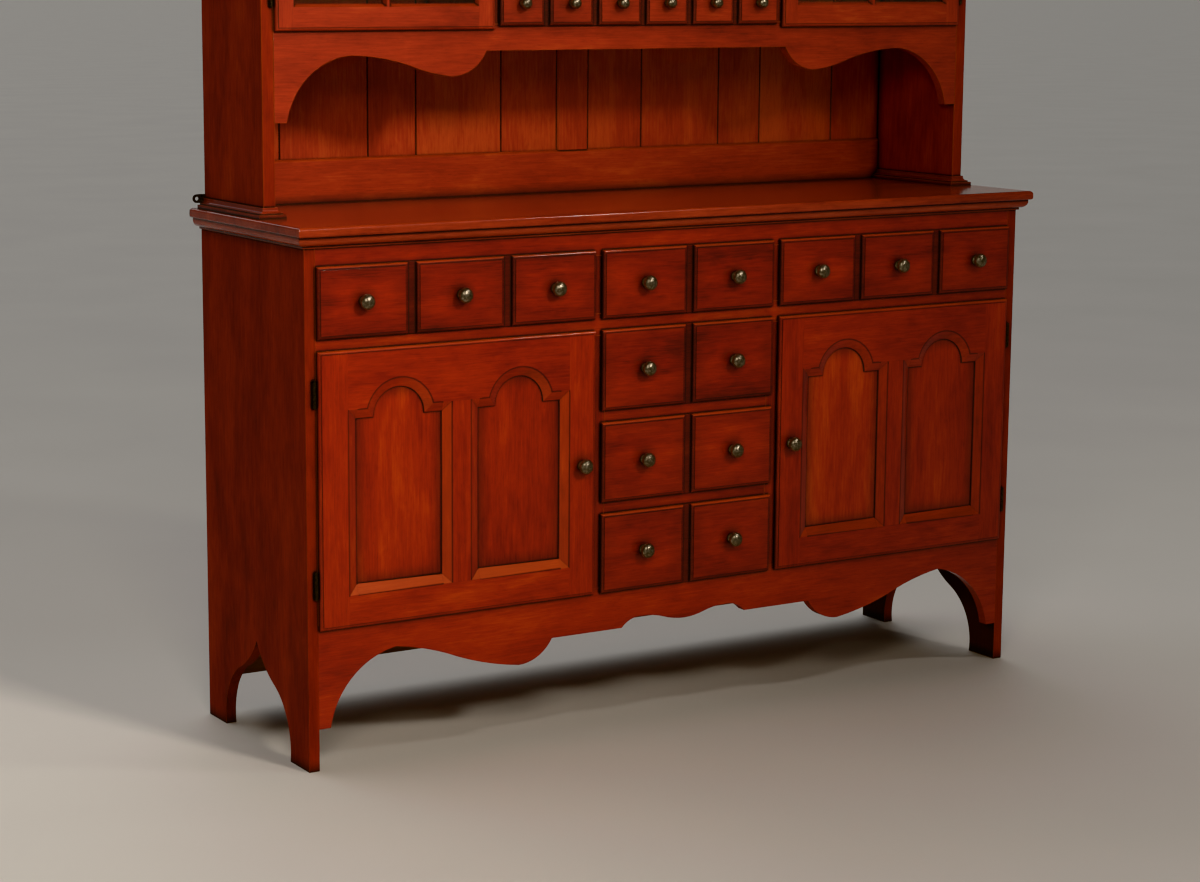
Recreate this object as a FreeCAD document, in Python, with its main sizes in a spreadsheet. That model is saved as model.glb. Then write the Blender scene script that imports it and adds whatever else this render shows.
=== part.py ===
import FreeCAD, Part
import math
import os
import types
import Sketcher

# A china cabinet in two pieces: a base with drawers and arched-panel doors, and a hutch with
# glazed doors, a long spice drawer and an open serving bay that stands on the base's counter.
# Millimetres, +Z up, +X to the viewer's right, the front faces -Y. The origin is on the floor
# under the middle of the whole cabinet, closed.

SIZES = {
    # Base case and counter
    "case_width": 1500.0,
    "case_depth": 409.0,
    "side_thick": 19.0,
    "counter_height": 913.0,
    "counter_thick": 16.5,
    "counter_over_side": 20.0,
    "counter_over_front": 25.0,
    "counter_over_back": 5.0,
    "counter_round": 6.0,
    "counter_under_round": 4.0,
    # Moulding under the counter
    "bed_mould_height": 19.5,
    "bed_mould_reach": 16.0,
    "bed_mould_foot": 4.0,
    "bed_mould_fillet": 4.5,
    # Feet and the scrolled apron
    "foot_width": 73.0,
    "foot_cut_height": 181.0,
    "apron_end_height": 72.0,
    "apron_rise": 124.5,
    "apron_band": 53.0,
    # Face frame of the base
    "frame_thick": 19.0,
    "lip_overlap": 9.0,
    "lip_side_gap": 0.5,
    "post_show": 13.5,
    "centre_lip_width": 364.0,
    "top_rail_show": 30.5,
    "top_lip_height": 119.0,
    "middle_rail_show": 20.0,
    "drawer_rail_show": 21.0,
    # Boards inside the base
    "board_thick": 19.0,
    "dust_thick": 12.0,
    "back_thick": 6.0,
    "back_inset": 2.0,
    "back_clear": 67.0,
    "cupboard_shelf_rise": 215.0,
    "cupboard_shelf_setback": 55.0,
    "runner_height": 20.0,
    "runner_width": 26.0,
    # Lipped fronts: edge of the lip, quarter round, small step up to the flat face
    "lip_edge": 3.2,
    "ovolo_depth": 5.0,
    "ovolo_flat": 0.5,
    "ovolo_inset": 6.0,
    "face_step": 0.8,
    "drawer_gap": 0.5,
    "triple_channel": 15.5,
    "double_channel": 15.0,
    "spice_channel": 11.0,
    # Drawer boxes
    "drawer_clear": 1.5,
    "drawer_head_clear": 4.0,
    "runner_clear": 0.3,
    "drawer_back_room": 41.0,
    "spice_back_room": 25.0,
    "box_side": 12.0,
    "box_front": 16.0,
    "box_bottom": 6.0,
    "box_bottom_rise": 8.0,
    "box_side_drop": 8.0,
    # Doors of the base
    "door_clear": 1.5,
    "door_inner": 12.0,
    "door_stile": 54.0,
    "door_muntin": 37.0,
    "door_bottom_rail": 55.5,
    "door_head_rail": 51.0,
    "arch_half": 62.0,
    "arch_rise": 48.0,
    "panel_bevel": 17.0,
    "bevel_depth": 7.5,
    "panel_groove": 8.0,
    "panel_thick": 6.0,
    "knob_inset": 28.5,
    "hinge_from_top": 69.5,
    "hinge_from_bottom": 77.5,
    # Hinges
    "hinge_length": 45.0,
    "hinge_axis_aside": 5.0,
    "knuckle_radius": 3.2,
    "knuckle_lift": 0.7,
    "knuckle_gap": 0.4,
    "pin_radius": 1.5,
    "pin_clear": 0.05,
    "pin_head": 1.2,
    "leaf_thick": 1.1,
    "leaf_gap": 0.3,
    "leaf_width": 4.4,
    "leaf_door_width": 8.0,
    # Knobs
    "knob_radius": 13.0,
    "knob_length": 24.0,
    "small_knob_radius": 10.0,
    "small_knob_length": 20.0,
    # Hutch case
    "hutch_back_inset": 9.0,
    "hutch_depth": 242.0,
    "hutch_inset": 3.3,
    "hutch_side_thick": 22.0,
    "hutch_height": 1117.0,
    "top_thick": 16.0,
    "waist_height": 18.0,
    "waist_reach": 14.0,
    "waist_fillet": 3.0,
    "waist_bead": 9.5,
    "waist_plinth": 6.5,
    "crown_height": 70.0,
    "crown_reach": 46.0,
    "crown_foot": 6.0,
    "crown_top": 14.0,
    "valance_end_rise": 157.5,
    "valance_rise": 109.5,
    "valance_band": 50.5,
    # Fronts of the hutch
    "frieze_height": 137.0,
    "upper_side_gap": 0.3,
    "upper_post_show": 10.0,
    "spice_lip_lift": 6.0,
    "spice_lip_height": 77.0,
    "spice_lip_width": 592.0,
    "spice_shelf_thick": 22.0,
    "upper_stile": 33.0,
    "upper_muntin": 5.0,
    "upper_bottom_rail": 39.5,
    "upper_top_rail": 42.0,
    "upper_bar": 5.0,
    "glass_bevel": 5.0,
    "glass_bevel_depth": 7.0,
    "glass_thick": 3.0,
    "glass_groove": 7.0,
    "upper_arch_half": 58.0,
    "upper_arch_rise": 44.0,
    "upper_knob_inset": 17.0,
    "upper_knob_rise": 240.0,
    "upper_hinge_from_end": 63.0,
    # Boards inside the hutch
    "shelf_thick": 18.0,
    "shelf_setback": 6.0,
    "plate_groove_width": 10.0,
    "plate_groove_depth": 3.0,
    "plate_groove_from_back": 38.0,
    # Back of the hutch
    "back_frame_thick": 12.0,
    "back_rail_height": 79.5,
    "back_muntin_width": 68.0,
    "back_edge_bevel": 4.0,
    "plank_setback": 4.0,
    "plank_bevel": 2.0,
    # Tie eyes behind the hutch
    "tie_eye_radius": 7.5,
    "tie_hole_radius": 3.5,
    "tie_eye_aside": 14.8,
    "tie_eye_rise": 17.0,
    "tie_plate_thick": 2.0,
    "tie_plate_reach": 17.0,
    "tie_screw_radius": 4.0,
    "tie_screw_head": 1.6,
    # Working allowances
    "overrun": 10.0,
    "corner_slack": 0.01,
}

# Left half of the apron's lower edge, from the side board to the middle: shares of the half length
# and of the rise from the flat end to the first arch, and the bulge of the curve that follows.
APRON_SHARES = [
    (0.0, 0.0, 0.0),
    (0.0294, 0.0, 0.163),
    (0.1997, 1.0, 0.033),
    (0.3639, 0.7229, -0.029),
    (0.5280, 0.4779, -0.134),
    (0.6197, 0.7952, 0.0),
    (0.8181, 0.7952, 0.123),
    (0.8796, 0.9317, 0.04),
    (0.9398, 0.8755, -0.04),
    (1.0, 0.8153, -0.04),
]

# The same for the valance under the hutch's fronts.
VALANCE_SHARES = [
    (0.0, 0.0, 0.0),
    (0.0320, 0.0, 0.170),
    (0.1942, 1.0, 0.035),
    (0.3515, 0.8356, -0.035),
    (0.4653, 0.6530, -0.146),
    (0.5598, 1.0457, 0.0),
    (1.0, 1.0457, 0.0),
]

# Front half of the cut-out between the feet of a side board: shares of the way to the middle
# and of the cut-out's height.
FOOT_SHARES = [
    (0.0, 0.0, 0.165),
    (0.456, 0.652, -0.0756),
    (1.0, 1.0, -0.0756),
]

# Widths of the back planks from the side to the middle, as shares of one bay.
PLANK_SHARES = [0.172, 0.2535, 0.142, 0.258, 0.1745]

# Turned knob up to the rim of its cap: shares of the radius and of the length, with the bulge of
# the next curve. A dome closes the cap.
KNOB_SHARES = [
    (0.0, 0.0, 0.0),
    (0.6, 0.0, 0.0),
    (0.6, 0.08, 0.18),
    (0.4, 0.2, 0.0),
    (0.4, 0.28, 0.15),
    (0.82, 0.4, -0.18),
    (1.0, 0.6, 0.0),
]

# A curve that bulges by this share of its chord is a quarter round.
QUARTER_ROUND_SHARE = 0.207

# Heights of the shelves behind the glass and in the open bay, as shares of the clear height.
SHELF_SHARES = [0.333, 0.667]


class Size:
    """A length that carries its number and the sheet formula that it comes from."""

    def __init__(self, value, text):
        self.value = value
        self.text = text

    def __add__(self, other):
        return Size(self.value + number(other), "(%s + %s)" % (self.text, formula(other)))

    def __radd__(self, other):
        return self + other

    def __sub__(self, other):
        return Size(self.value - number(other), "(%s - %s)" % (self.text, formula(other)))

    def __rsub__(self, other):
        return Size(number(other) - self.value, "(%s - %s)" % (formula(other), self.text))

    def __mul__(self, other):
        return Size(self.value * number(other), "(%s * %s)" % (self.text, formula(other)))

    def __rmul__(self, other):
        return self * other

    def __truediv__(self, other):
        return Size(self.value / number(other), "(%s / %s)" % (self.text, formula(other)))

    def __neg__(self):
        return Size(-self.value, "(0 - %s)" % self.text)


def number(value):
    return value.value if isinstance(value, Size) else float(value)


def formula(value):
    return value.text if isinstance(value, Size) else repr(value)


def root(value):
    return Size(math.sqrt(value.value), "sqrt(%s)" % value.text)


doc = FreeCAD.newDocument("ChinaCabinet")
sheet = doc.addObject("Spreadsheet::Sheet", "Sizes")
S = types.SimpleNamespace()
for row, (alias, size) in enumerate(SIZES.items(), start=1):
    sheet.set("A%d" % row, alias)
    sheet.set("B%d" % row, str(size))
    sheet.setAlias("B%d" % row, alias)
    setattr(S, alias, Size(size, "Sizes." + alias))
doc.recompute()

nodes = []


def node(label, made):
    """Names a sub-part, and puts it on the list of those that are written out."""
    made.Label = label
    nodes.append(made)
    return made


def bind(made, prop, value):
    if isinstance(value, Size):
        made.setExpression(prop, value.text)


def put(made, x, y, z):
    for axis, value in zip("xyz", (x, y, z)):
        bind(made, "Placement.Base." + axis, value)
    return made


def board(x0, x1, y0, y1, z0, z1):
    made = doc.addObject("Part::Box", "Board")
    bind(made, "Length", x1 - x0)
    bind(made, "Width", y1 - y0)
    bind(made, "Height", z1 - z0)
    return put(made, x0, y0, z0)


def rod(x, y, z0, z1, radius):
    made = doc.addObject("Part::Cylinder", "Rod")
    bind(made, "Radius", radius)
    bind(made, "Height", z1 - z0)
    return put(made, x, y, z0)


def cross_rod(x, y0, y1, z, radius):
    """A rod that runs from y0 towards the back."""
    made = doc.addObject("Part::Cylinder", "Rod")
    made.Placement = FreeCAD.Placement(FreeCAD.Vector(), FreeCAD.Rotation(FreeCAD.Vector(1, 0, 0), -90))
    bind(made, "Radius", radius)
    bind(made, "Height", y1 - y0)
    return put(made, x, y0, z)


def fuse(pieces):
    made = doc.addObject("Part::MultiFuse", "Joined")
    made.Shapes = pieces
    made.Refine = True
    return made


def cut(base, tools):
    made = doc.addObject("Part::Cut", "CutOut")
    made.Base = base
    made.Tool = tools[0] if len(tools) == 1 else fuse(tools)
    return made


def common(base, tool):
    made = doc.addObject("Part::Common", "Slice")
    made.Base = base
    made.Tool = tool
    return made


def group(pieces):
    made = doc.addObject("Part::Compound", "Group")
    made.Links = pieces
    return made


def mirrored(source):
    """The same piece on the other side of the cabinet's middle."""
    made = doc.addObject("Part::Mirroring", "Mirrored")
    made.Source = source
    made.Base = FreeCAD.Vector(0, 0, 0)
    made.Normal = FreeCAD.Vector(1, 0, 0)
    return made


def both(pieces):
    return pieces + [mirrored(piece) for piece in pieces]


def edges_at(base, wanted):
    """Numbers of the edges whose ends all meet the wanted test."""
    doc.recompute()
    found = []
    for index, edge in enumerate(base.Shape.Edges, start=1):
        if all(wanted(corner.Point) for corner in edge.Vertexes):
            found.append(index)
    return found


def eased(base, kind, sizes_and_tests):
    """Rounds or bevels the edges that each test picks out."""
    made = doc.addObject(kind, "Eased")
    made.Base = base
    picked = []
    for size, wanted in sizes_and_tests:
        picked += [(index, size.value, size.value) for index in edges_at(base, wanted)]
    made.Edges = picked
    return made


def near(one, other):
    return abs(one - number(other)) < S.corner_slack.value


def draw(sketch, corners):
    """Closed outline through (x, y, bulge): a bulge is a share of the chord or a named rise,
    to the left of the way that the outline runs."""
    count = len(corners)
    first = sketch.GeometryCount
    points = [FreeCAD.Vector(number(x), number(y), 0) for x, y, bulge in corners]
    radii = []
    for index, (x, y, bulge) in enumerate(corners):
        here = points[index]
        there = points[(index + 1) % count]
        if number(bulge) == 0:
            sketch.addGeometry(Part.LineSegment(here, there), False)
            continue
        chord = there - here
        share = number(bulge) / chord.Length if isinstance(bulge, Size) else bulge
        middle = (here + there) / 2 + FreeCAD.Vector(-chord.y, chord.x, 0) * share
        bow = Part.Arc(there, middle, here) if share > 0 else Part.Arc(here, middle, there)
        sketch.addGeometry(bow, False)
        next_x, next_y, next_bulge = corners[(index + 1) % count]
        across = next_x - x
        along = next_y - y
        span = root(across * across + along * along)
        rise = bulge if isinstance(bulge, Size) else span * abs(share)
        if number(rise) < 0:
            rise = -rise
        radii.append((first + index, (span * span / 4 + rise * rise) / (rise * 2)))
    # A curve that bows to the left is stored from its far end.
    starts = [2 if number(bulge) > 0 else 1 for x, y, bulge in corners]
    for index, (x, y, bulge) in enumerate(corners):
        after = (index + 1) % count
        pair = (first + index, 3 - starts[index], first + after, starts[after])
        sketch.addConstraint(Sketcher.Constraint("Coincident", *pair))
        for kind, value in (("DistanceX", x), ("DistanceY", y)):
            ends = (kind, -1, 1, first + index, starts[index], number(value))
            placed = sketch.addConstraint(Sketcher.Constraint(*ends))
            bind(sketch, "Constraints[%d]" % placed, value)
    for index, radius in radii:
        placed = sketch.addConstraint(Sketcher.Constraint("Radius", index, radius.value))
        bind(sketch, "Constraints[%d]" % placed, radius)


def sketch_on(body, plane):
    sketch = body.newObject("Sketcher::SketchObject", "Outline")
    support = [feature for feature in body.Origin.OriginFeatures if feature.Role == plane][0]
    sketch.AttachmentSupport = (support, [""])
    sketch.MapMode = "FlatFace"
    return sketch


def padded(plane, corners, length):
    """A body whose outline on one of its own planes is padded to a length."""
    body = doc.addObject("PartDesign::Body", "Piece")
    sketch = sketch_on(body, plane)
    draw(sketch, corners)
    pad = body.newObject("PartDesign::Pad", "Pad")
    pad.Profile = sketch
    bind(pad, "Length", length)
    return body


def scrolled(shares, half, low, rise, high, y_front, thick):
    """A board between two sides, with a scrolled lower edge that mirrors about the middle."""
    left_half = [(half * (across - 1), low + rise * up, bulge) for across, up, bulge in shares[:-1]]
    last_across, last_up, last_bulge = shares[-1]
    middle = [(half * 0, low + rise * last_up, last_bulge)]
    right_half = []
    for index in range(len(shares) - 2, -1, -1):
        across, up, bulge = shares[index]
        before = shares[index - 1][2] if index else 0.0
        right_half.append((half * (1 - across), low + rise * up, before))
    ends = [(half, high, 0.0), (-half, high, 0.0)]
    body = padded("XZ_Plane", left_half + middle + right_half + ends, thick)
    return put(body, half * 0, y_front + thick, half * 0)


def moulding_run(profile, length, reach, height, mitres, turn, x, y, z):
    """A length of moulding: x along the wall, y out from it, mitred at the start and the end."""
    total = length + reach * sum(mitres)
    body = padded("YZ_Plane", profile, total)
    corners = sketch_on(body, "XY_Plane")
    out = S.overrun
    if mitres[0]:
        draw(corners, [(-out, -out, 0), (reach + out, -out, 0), (-out, reach + out, 0)])
    if mitres[1]:
        draw(corners, [(total + out, -out, 0), (total + out, reach + out, 0), (total - reach - out, -out, 0)])
    doc.recompute()
    whole = body.Shape.Volume
    pocket = body.newObject("PartDesign::Pocket", "Mitre")
    pocket.Profile = corners
    pocket.Reversed = True
    bind(pocket, "Length", height + out)
    doc.recompute()
    if body.Shape.Volume >= whole:
        raise RuntimeError("a mitre cut nothing")
    body.Placement = FreeCAD.Placement(FreeCAD.Vector(), FreeCAD.Rotation(FreeCAD.Vector(0, 0, 1), turn))
    return put(body, x, y, z)


def knob_row(radius, length, count, pitch, x, y, z):
    """Turned knobs in a row that runs from x to the left, standing out from y."""
    body = doc.addObject("PartDesign::Body", "Knob")
    sketch = sketch_on(body, "XY_Plane")
    corners = [(radius * out, length * up, bulge) for out, up, bulge in KNOB_SHARES]
    rim_radius, rim_up, unused = corners.pop()
    dome = length - rim_up
    chord_square = rim_radius * rim_radius + dome * dome
    sphere = chord_square / (dome * 2)
    bow = sphere - root(sphere * sphere - chord_square / 4)
    draw(sketch, corners + [(rim_radius, rim_up, -bow), (radius * 0, length, 0.0)])
    turned = body.newObject("PartDesign::Revolution", "Turned")
    turned.Profile = sketch
    turned.ReferenceAxis = (sketch, ["V_Axis"])
    turned.Angle = 360
    if count > 1:
        doc.recompute()
        row = body.newObject("PartDesign::LinearPattern", "Row")
        row.Originals = [turned]
        row.Direction = (sketch, ["H_Axis"])
        row.Mode = "Extent"
        row.Occurrences = count
        bind(row, "Length", pitch * (count - 1))
        body.Tip = row
    body.Placement = FreeCAD.Placement(FreeCAD.Vector(), FreeCAD.Rotation(FreeCAD.Vector(0, 0, 1), 180))
    return put(body, x, y, z)


def raised_front(x0, x1, z0, z1, plane, gap, count, channel):
    """Lip, then raised fields with a quarter-round edge and a small step up to each flat face."""
    lip_face = plane - S.lip_edge
    field_face = lip_face - S.ovolo_depth
    pieces = [board(x0, x1, lip_face, plane - gap, z0, z1)]
    field = (x1 - x0 - channel * (count - 1)) / count
    inset = S.ovolo_inset
    ovolo_radius = S.ovolo_depth - S.ovolo_flat
    for index in range(count):
        start = x0 + (field + channel) * index
        block = board(start, start + field, field_face, lip_face, z0, z1)
        pieces.append(eased(block, "Part::Fillet", [(ovolo_radius, lambda at: near(at.y, field_face))]))
        pieces.append(board(start + inset, start + field - inset, field_face - S.face_step, field_face,
                            z0 + inset, z1 - inset))
    return pieces


def proud():
    return S.lip_edge + S.ovolo_depth + S.face_step


def drawer(name, x0, x1, z0, z1, plane, floor, rear, count, channel, knob_radius, knob_length):
    """Lipped front, box of five boards and a knob on each raised field."""
    front_piece = node(name + "_front", fuse(raised_front(x0, x1, z0, z1, plane, S.drawer_gap, count, channel)))
    inner_left = x0 + S.lip_overlap + S.drawer_clear
    inner_right = x1 - S.lip_overlap - S.drawer_clear
    low = floor + S.runner_clear
    high = z1 - S.lip_overlap - S.drawer_head_clear
    face = plane - S.drawer_gap
    behind = face + S.box_front
    side_top = high - S.box_side_drop
    wall = S.box_side
    bottom_top = low + S.box_bottom_rise + S.box_bottom
    box_boards = [
        board(inner_left, inner_right, face, behind, low, high),
        board(inner_left, inner_left + wall, behind, rear, low, side_top),
        board(inner_right - wall, inner_right, behind, rear, low, side_top),
        board(inner_left + wall, inner_right - wall, rear - wall, rear, bottom_top, side_top),
        board(inner_left + wall, inner_right - wall, behind, rear, low + S.box_bottom_rise, bottom_top),
    ]
    box_piece = node(name + "_box", group(box_boards))
    field = (x1 - x0 - channel * (count - 1)) / count
    last = x1 - field / 2
    knobs = knob_row(knob_radius, knob_length, count, field + channel, last, plane - proud(), (z0 + z1) / 2)
    knob_piece = node(name + ("_knobs" if count > 1 else "_knob"), knobs)
    return front_piece, box_piece, knob_piece


def free_outline(corners, y):
    """An outline that stands upright in the plane at depth y."""
    sketch = doc.addObject("Sketcher::SketchObject", "Outline")
    sketch.Placement = FreeCAD.Placement(FreeCAD.Vector(), FreeCAD.Rotation(FreeCAD.Vector(1, 0, 0), 90))
    draw(sketch, corners)
    bind(sketch, "Placement.Base.y", y)
    return sketch


def opening_corners(x_mid, half, low, shoulder, arch_half, rise):
    corners = [(x_mid - half, low, 0), (x_mid + half, low, 0), (x_mid + half, shoulder, 0)]
    if rise is not None:
        corners += [(x_mid + arch_half, shoulder, -rise), (x_mid - arch_half, shoulder, 0)]
    return corners + [(x_mid - half, shoulder, 0)]


def bevelled_opening(x_mid, half, low, shoulder, arch_half, rise, bevel, face, deep, behind):
    """Cutters for an opening in a door, square or arched: a bevel down from the face, then straight through."""
    wide = opening_corners(x_mid, half, low, shoulder, arch_half, rise)
    inner_arch = None
    if rise is not None:
        arch_radius = (arch_half * arch_half + rise * rise) / (rise * 2)
        inner_radius = arch_radius - bevel
        inner_drop = inner_radius - rise
        inner_arch = root(inner_radius * inner_radius - inner_drop * inner_drop)
    narrow = opening_corners(x_mid, half - bevel, low + bevel, shoulder - bevel, inner_arch, rise)
    loft = doc.addObject("Part::Loft", "Bevel")
    loft.Sections = [free_outline(wide, face), free_outline(narrow, deep)]
    loft.Solid = True
    loft.Ruled = True
    through = doc.addObject("Part::Extrusion", "Through")
    through.Base = free_outline(narrow, deep)
    through.DirMode = "Custom"
    through.Dir = FreeCAD.Vector(0, 1, 0)
    through.Solid = True
    bind(through, "LengthFwd", behind + S.overrun - deep)
    return [loft, through]


def lipped_blank(x0, x1, z0, z1, plane, gap):
    """A door before its openings are cut: raised lip outside, and the rebated part in the frame."""
    pieces = raised_front(x0, x1, z0, z1, plane, gap, 1, S.ovolo_inset)
    inset = S.lip_overlap + S.door_clear
    pieces.append(board(x0 + inset, x1 - inset, plane - gap, plane + S.door_inner, z0 + inset, z1 - inset))
    return fuse(pieces)


def hinge(axis_x, plane, middle):
    """A butt hinge at the left of a door: the frame's leaf, the door's leaf and the pin."""
    axis_y = plane - S.knuckle_lift - S.knuckle_radius
    low = middle - S.hinge_length / 2
    high = middle + S.hinge_length / 2
    third = S.hinge_length / 3
    clear = S.knuckle_radius + S.knuckle_gap
    bore = S.pin_radius + S.pin_clear
    low_top = low + third - S.knuckle_gap
    high_foot = high - third + S.knuckle_gap
    frame_y = (plane - S.leaf_thick, plane)
    door_y = (plane - S.leaf_gap - S.leaf_thick, plane - S.leaf_gap)
    door_edge = axis_x + S.hinge_axis_aside + S.leaf_door_width
    frame_leaf = fuse([
        board(axis_x - S.leaf_width, axis_x - clear, *frame_y, low, high),
        board(axis_x - clear, axis_x, *frame_y, low, low_top),
        board(axis_x - clear, axis_x, *frame_y, high_foot, high),
        rod(axis_x, axis_y, low, low_top, S.knuckle_radius),
        rod(axis_x, axis_y, high_foot, high, S.knuckle_radius),
    ])
    door_leaf = fuse([
        board(axis_x + clear, door_edge, *door_y, low, high),
        board(axis_x, axis_x + clear, *door_y, low + third, high - third),
        rod(axis_x, axis_y, low + third, high - third, S.knuckle_radius),
    ])
    drilled = [cut(leaf, [rod(axis_x, axis_y, low - S.overrun, high + S.overrun, bore)])
               for leaf in (frame_leaf, door_leaf)]
    pin = rod(axis_x, axis_y, low - S.pin_head, high + S.pin_head, S.pin_radius)
    return drilled[0], drilled[1], pin


def door_gap():
    return S.leaf_gap + S.leaf_thick


# Planes and heights that the pieces share.
half_case = S.case_width / 2
front = -(S.case_depth + S.counter_over_back - proud() - S.knob_length) / 2
case_rear = front + S.case_depth
back_face = case_rear - S.back_inset - S.back_thick
behind_frame = front + S.frame_thick
counter_under = S.counter_height - S.counter_thick
top_lip_high = counter_under - S.bed_mould_height - S.top_rail_show
top_lip_low = top_lip_high - S.top_lip_height
door_lip_high = top_lip_low - S.middle_rail_show
case_inside = half_case - S.side_thick
outer_lip = case_inside - S.lip_side_gap
centre_lip = S.centre_lip_width / 2
inner_lip = centre_lip + S.post_show
over = S.lip_overlap
opening_floor = S.apron_end_height + S.apron_rise + S.apron_band
door_lip_low = opening_floor - over
top_opening_floor = top_lip_low + over

# Base sides: boards that run down to the floor, cut out between the feet.
middle_depth = S.case_depth / 2
reach_in = middle_depth - S.foot_width
front_foot = [(S.foot_width + reach_in * a, S.foot_cut_height * b, c) for a, b, c in FOOT_SHARES]
rear_foot = []
for index in range(len(FOOT_SHARES) - 2, -1, -1):
    share_in, share_up, unused = FOOT_SHARES[index]
    bulge = FOOT_SHARES[index - 1][2] if index else 0.0
    rear_foot.append((S.case_depth - S.foot_width - reach_in * share_in, S.foot_cut_height * share_up, bulge))
side_outline = [(half_case * 0, half_case * 0, 0.0)] + front_foot + rear_foot
side_outline += [(S.case_depth, half_case * 0, 0.0), (S.case_depth, counter_under, 0.0),
                 (half_case * 0, counter_under, 0.0)]
side_left = padded("YZ_Plane", side_outline, S.side_thick)
node("base_side_left", put(side_left, -half_case, front, half_case * 0))
node("base_side_right", mirrored(side_left))

# Apron: the scrolled board between the feet, whose upper part is the frame's bottom rail.
node("apron", scrolled(APRON_SHARES, case_inside, S.apron_end_height, S.apron_rise, opening_floor,
                       front, S.frame_thick))

# Face frame of the base: rails that run from side to side, short drawer rails, posts and end stiles.
post_inner = centre_lip - over
post_outer = inner_lip + over
end_stile = outer_lip - over
row_height = (door_lip_high - door_lip_low - S.drawer_rail_show * 2) / 3
row_lows = [door_lip_high - row_height * (row + 1) - S.drawer_rail_show * row for row in range(3)]
rails = [
    board(-case_inside, case_inside, front, behind_frame, top_lip_high - over, counter_under),
    board(-case_inside, case_inside, front, behind_frame, door_lip_high - over, top_opening_floor),
]
for low in row_lows[:2]:
    rails.append(board(-post_inner, post_inner, front, behind_frame, low - S.drawer_rail_show - over, low + over))
node("base_rails", group(rails))
stiles = []
for low, high in ((opening_floor, door_lip_high - over), (top_opening_floor, top_lip_high - over)):
    stiles.append(board(-post_outer, -post_inner, front, behind_frame, low, high))
    stiles.append(board(-case_inside, -end_stile, front, behind_frame, low, high))
node("base_stiles", group(both(stiles)))

# Partitions behind the posts, and the runners that they carry for the two upper drawers of the column.
part_mid = (post_inner + post_outer) / 2
part_inner = part_mid - S.board_thick / 2
part_outer = part_mid + S.board_thick / 2
uprights = [board(-part_outer, -part_inner, behind_frame, back_face, opening_floor, counter_under)]
for low in row_lows[:2]:
    uprights.append(board(-part_inner, S.runner_width - part_inner, behind_frame, back_face,
                          low + over - S.runner_height, low + over))
node("base_partitions", group(both(uprights)))

# Bottom board, dust boards under the top drawers, and a shelf in each cupboard.
dust_low = top_opening_floor - S.dust_thick
base_floor = board(-case_inside, case_inside, behind_frame, back_face,
                   opening_floor - S.board_thick, opening_floor)
dust_side = board(-case_inside, -part_outer, behind_frame, back_face, dust_low, top_opening_floor)
dust_middle = board(-part_inner, part_inner, behind_frame, back_face, dust_low, top_opening_floor)
shelf_low = opening_floor + S.cupboard_shelf_rise
cupboard_shelf = board(-case_inside, -part_outer, behind_frame + S.cupboard_shelf_setback, back_face,
                       shelf_low, shelf_low + S.shelf_thick)
node("base_inner_boards", group([base_floor, dust_middle] + both([dust_side, cupboard_shelf])))

# Back panel, let in between the sides.
node("base_back", board(-case_inside, case_inside, back_face, back_face + S.back_thick,
                        S.back_clear, counter_under))

# Counter top with a rounded edge on the front and both ends.
counter_half = half_case + S.counter_over_side
counter_front = front - S.counter_over_front
slab = board(-counter_half, counter_half, counter_front, case_rear + S.counter_over_back,
             counter_under, S.counter_height)


def on_one_edge(base, height):
    """Edges along the front or an end at one height, not the one along the back."""
    picked = []
    for index in edges_at(base, lambda at: near(at.z, height)):
        ends = [corner.Point for corner in base.Shape.Edges[index - 1].Vertexes]
        along_front = all(near(at.y, counter_front) for at in ends)
        along_end = near(ends[0].x, ends[1].x)
        if along_front or along_end:
            picked.append(index)
    return picked


counter_edges = []
for height, size in ((S.counter_height, S.counter_round), (counter_under, S.counter_under_round)):
    counter_edges += [(index, size.value, size.value) for index in on_one_edge(slab, height)]
counter = doc.addObject("Part::Fillet", "Eased")
counter.Base = slab
counter.Edges = counter_edges
node("counter_top", counter)

# Moulding under the counter: a small foot, an ovolo and a fillet, on the front and both ends.
bed_reach = S.bed_mould_reach
bed_high = S.bed_mould_height
bed_foot = S.bed_mould_foot
bed_top = bed_high - S.bed_mould_fillet
bed_profile = [
    (bed_reach * 0, bed_reach * 0, 0.0),
    (bed_foot, bed_reach * 0, 0.0),
    (bed_foot, bed_foot, -QUARTER_ROUND_SHARE),
    (bed_reach, bed_top, 0.0),
    (bed_reach, bed_high, 0.0),
    (bed_reach * 0, bed_high, 0.0),
]
bed_low = counter_under - bed_high
bed_front = moulding_run(bed_profile, S.case_width, bed_reach, bed_high, (1, 1), 180,
                         half_case + bed_reach, front, bed_low)
bed_side = moulding_run(bed_profile, S.case_depth, bed_reach, bed_high, (1, 0), 90,
                        -half_case, front - bed_reach, bed_low)
node("counter_moulding", group([bed_front] + both([bed_side])))

# Top row of drawers: three raised fronts on each long drawer, two on the middle one.
drawer_rear = back_face - S.drawer_back_room
left_drawer = drawer("drawer_top_left", -outer_lip, -inner_lip, top_lip_low, top_lip_high, front,
                     top_opening_floor, drawer_rear, 3, S.triple_channel, S.knob_radius, S.knob_length)
for piece, ending in zip(left_drawer, ("front", "box", "knobs")):
    node("drawer_top_right_" + ending, mirrored(piece))
drawer("drawer_top_centre", -centre_lip, centre_lip, top_lip_low, top_lip_high, front,
       top_opening_floor, drawer_rear, 2, S.double_channel, S.knob_radius, S.knob_length)

# Column of drawers between the doors.
for name, low in zip(("upper", "middle", "lower"), row_lows):
    drawer("drawer_" + name, -centre_lip, centre_lip, low, low + row_height, front,
           low + over, drawer_rear, 2, S.double_channel, S.knob_radius, S.knob_length)

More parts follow.
